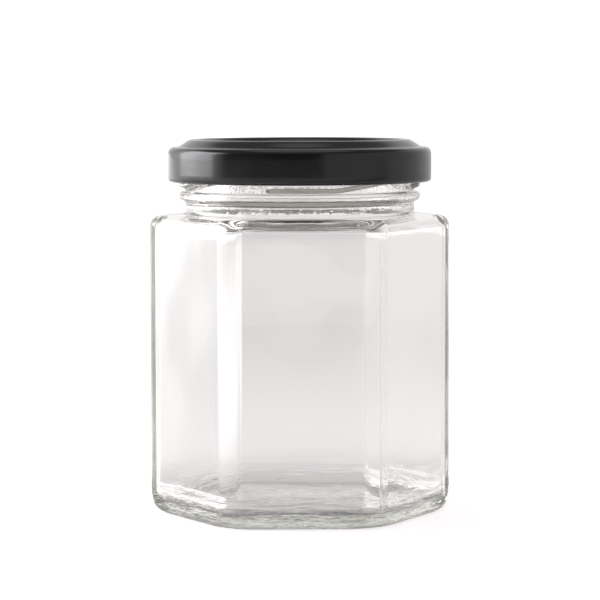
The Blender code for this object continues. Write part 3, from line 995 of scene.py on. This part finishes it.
def floor_material(studio):
    """A pale floor, evenly bright to the camera, with painted light and shade for glass and gloss:
    a glow brighter on the left and near the jar, a painted contact shadow under the jar, and
    painted shade towards the front.
    """
    material, tree, shader = new_material("pale_floor", studio.floor_color, FLOOR_ROUGHNESS)
    links = tree.links
    shader.inputs["Specular IOR Level"].default_value = 0.0
    shader.inputs["Emission Color"].default_value = LIGHT_COLOR
    seen = tree.nodes.new("ShaderNodeLightPath").outputs["Is Camera Ray"]
    split = tree.nodes.new("ShaderNodeSeparateXYZ")
    links.new(tree.nodes.new("ShaderNodeTexCoord").outputs["Object"], split.inputs[0])
    away = tree.nodes.new("ShaderNodeVectorMath")
    away.operation = "LENGTH"
    links.new(tree.nodes.new("ShaderNodeTexCoord").outputs["Object"], away.inputs[0])
    # Painted light: for glass and gloss the floor glows, more near the jar and on the left
    painted_light = ranged(tree, away.outputs["Value"], *PAINTED_LIGHT_NEAR_JAR)
    for band in PAINTED_LEFT_LIGHT:
        painted_light = math_node(tree, "ADD", painted_light, ranged(tree, split.outputs["X"], *band))
    # Painted contact shadow: under the jar the painted light drops to a share
    painted_light = math_node(tree, "MULTIPLY", painted_light, ranged(tree, away.outputs["Value"], *PAINTED_CONTACT_SHADOW))
    # Camera rays see the floor evenly bright; all other rays see the painted light
    floor_glow_partly_painted = tree.nodes.new("ShaderNodeMix")
    links.new(seen, floor_glow_partly_painted.inputs["Factor"])
    links.new(painted_light, floor_glow_partly_painted.inputs["A"])
    floor_glow_partly_painted.inputs["B"].default_value = SEEN_FLOOR
    links.new(floor_glow_partly_painted.outputs["Result"], shader.inputs["Emission Strength"])
    # Painted shade: for glass and gloss the floor's colour darkens towards the front, while the
    # camera sees it plain
    to_front = ranged(tree, split.outputs["Y"], *PAINTED_FRONT_SHADE)
    tone = tree.nodes.new("ShaderNodeMix")
    tone.data_type = "RGBA"
    links.new(math_node(tree, "MAXIMUM", to_front, seen), tone.inputs["Factor"])
    tone.inputs["A"].default_value = BLACK
    tone.inputs["B"].default_value = (*studio.floor_color, 1.0)
    links.new(tone.outputs["Result"], shader.inputs["Base Color"])
    return material


def add_surroundings(scene):
    """White to the camera. Gloss and glass see a bright back, a soft box and a dim front."""
    world = bpy.data.worlds.new("studio_light")
    scene.world = world
    world.use_nodes = True
    tree = world.node_tree
    seen = tree.nodes["Background"]
    seen.inputs["Color"].default_value = WHITE
    seen.inputs["Strength"].default_value = SEEN_WORLD
    place = tree.nodes.new("ShaderNodeTexCoord")
    split = tree.nodes.new("ShaderNodeSeparateXYZ")
    tree.links.new(place.outputs["Generated"], split.inputs[0])
    to_front = math_node(tree, "MULTIPLY", split.outputs["Y"], -1.0)
    turn = math_node(tree, "ARCTAN2", split.outputs["X"], to_front)
    share = math_node(tree, "ADD", math_node(tree, "DIVIDE", turn, 2 * math.pi), 0.5)
    ramp = tree.nodes.new("ShaderNodeValToRGB")
    ramp.color_ramp.interpolation = "EASE"
    stops = ramp.color_ramp.elements
    while len(stops) > 1:
        stops.remove(stops[-1])
    for i, (degrees, light) in enumerate(SURROUNDINGS):
        position = degrees / 360 + 0.5
        stop = stops[0] if i == 0 else stops.new(position)
        stop.position = position
        stop.color = (light / BRIGHTEST, light / BRIGHTEST, light / BRIGHTEST, 1.0)
    tree.links.new(share, ramp.inputs["Fac"])
    light = math_node(tree, "MULTIPLY", ramp.outputs["Color"], BRIGHTEST)
    for low, high, level in HEIGHT_BANDS:
        mixed = tree.nodes.new("ShaderNodeMix")
        tree.links.new(ranged(tree, split.outputs["Z"], (low, high)), mixed.inputs["Factor"])
        tree.links.new(light, mixed.inputs["A"])
        mixed.inputs["B"].default_value = level
        light = mixed.outputs["Result"]
    lit = tree.nodes.new("ShaderNodeBackground")
    lit.inputs["Color"].default_value = LIGHT_COLOR
    tree.links.new(light, lit.inputs["Strength"])
    path = tree.nodes.new("ShaderNodeLightPath")
    choice = tree.nodes.new("ShaderNodeMixShader")
    tree.links.new(path.outputs["Is Camera Ray"], choice.inputs["Fac"])
    tree.links.new(lit.outputs[0], choice.inputs[1])
    tree.links.new(seen.outputs[0], choice.inputs[2])
    tree.links.new(choice.outputs[0], tree.nodes["World Output"].inputs["Surface"])


def add_camera(scene, studio):
    camera = bpy.data.objects.new("photo_camera", bpy.data.cameras.new("photo_camera"))
    scene.collection.objects.link(camera)
    camera.data.sensor_width = SENSOR_WIDTH
    camera.data.lens = studio.lens
    camera.data.clip_start = CLIP_START
    place = (-studio.distance * math.sin(studio.side), -studio.distance * math.cos(studio.side),
             studio.height)
    turned = (Matrix.Rotation(-studio.side, 4, "Z")
              @ Matrix.Rotation(math.pi / 2 - studio.pitch, 4, "X")
              @ Matrix.Rotation(-studio.roll, 4, "Z"))
    camera.matrix_world = Matrix.Translation(place) @ turned
    scene.camera = camera


class JarPanel(bpy.types.Panel):
    """Lists the pieces and their sizes in the sidebar"""
    bl_idname = "VIEW3D_PT_glass_jar"
    bl_label = "Hexagonal Glass Jar"
    bl_space_type = "VIEW_3D"
    bl_region_type = "UI"
    bl_category = "Glass Jar"

    def draw(self, context):
        scene = context.scene
        for operator, sizes in ((BuildGlassJar, scene.jar_glass), (BuildLid, scene.jar_lid),
                                (BuildSealingRing, scene.jar_seal),
                                (BuildStudio, scene.jar_studio)):
            box = self.layout.box()
            box.operator(operator.bl_idname)
            for name in sizes.__annotations__:
                box.prop(sizes, name)


CLASSES = (GlassSizes, LidSizes, SealSizes, StudioSizes, BuildGlassJar, BuildLid, BuildSealingRing,
           BuildStudio, JarPanel)
GROUPS = (("jar_glass", GlassSizes), ("jar_lid", LidSizes), ("jar_seal", SealSizes),
          ("jar_studio", StudioSizes))


def register():
    for kind in CLASSES:
        bpy.utils.register_class(kind)
    for name, kind in GROUPS:
        setattr(bpy.types.Scene, name, PointerProperty(type=kind))


def unregister():
    for name, _ in GROUPS:
        delattr(bpy.types.Scene, name)
    for kind in reversed(CLASSES):
        bpy.utils.unregister_class(kind)


def main():
    register()
    bpy.ops.glass_jar.build_studio()
    bpy.ops.glass_jar.build_glass()
    bpy.ops.glass_jar.build_lid()
    bpy.ops.glass_jar.build_seal()


if __name__ == "__main__":
    main()
